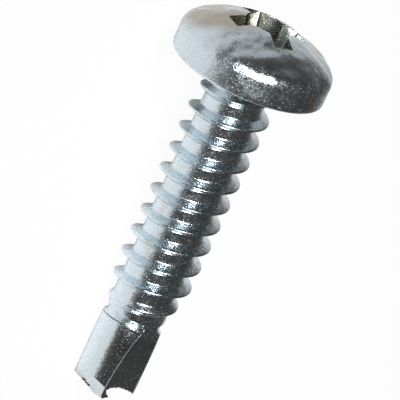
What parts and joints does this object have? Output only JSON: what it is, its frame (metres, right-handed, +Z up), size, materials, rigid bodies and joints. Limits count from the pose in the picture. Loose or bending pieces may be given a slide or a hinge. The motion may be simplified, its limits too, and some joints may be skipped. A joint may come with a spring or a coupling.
{
  "type": "cross-recessed self-drilling screw",
  "caption": "Pan-head self-drilling screw with a cross recess, coarse right-hand tapping thread and fluted drill point, for joining sheet metal in one step.",
  "frame": {"origin": "on the surface that the screw lies on, under the middle of its bounding box", "axes": "+X from the head towards the drill point, +Z up; the screw lies on its head's rim and on its drill point, so its axis dips 8.9 degrees towards +X"},
  "size_m": [0.0252, 0.0094, 0.0096],
  "materials": {
    "zinc_plate": "bright zinc plating on steel, blue-white, with fine forging grain"
  },
  "bodies": {
    "root": {"screw": "zinc_plate"}
  },
  "joints": []
}
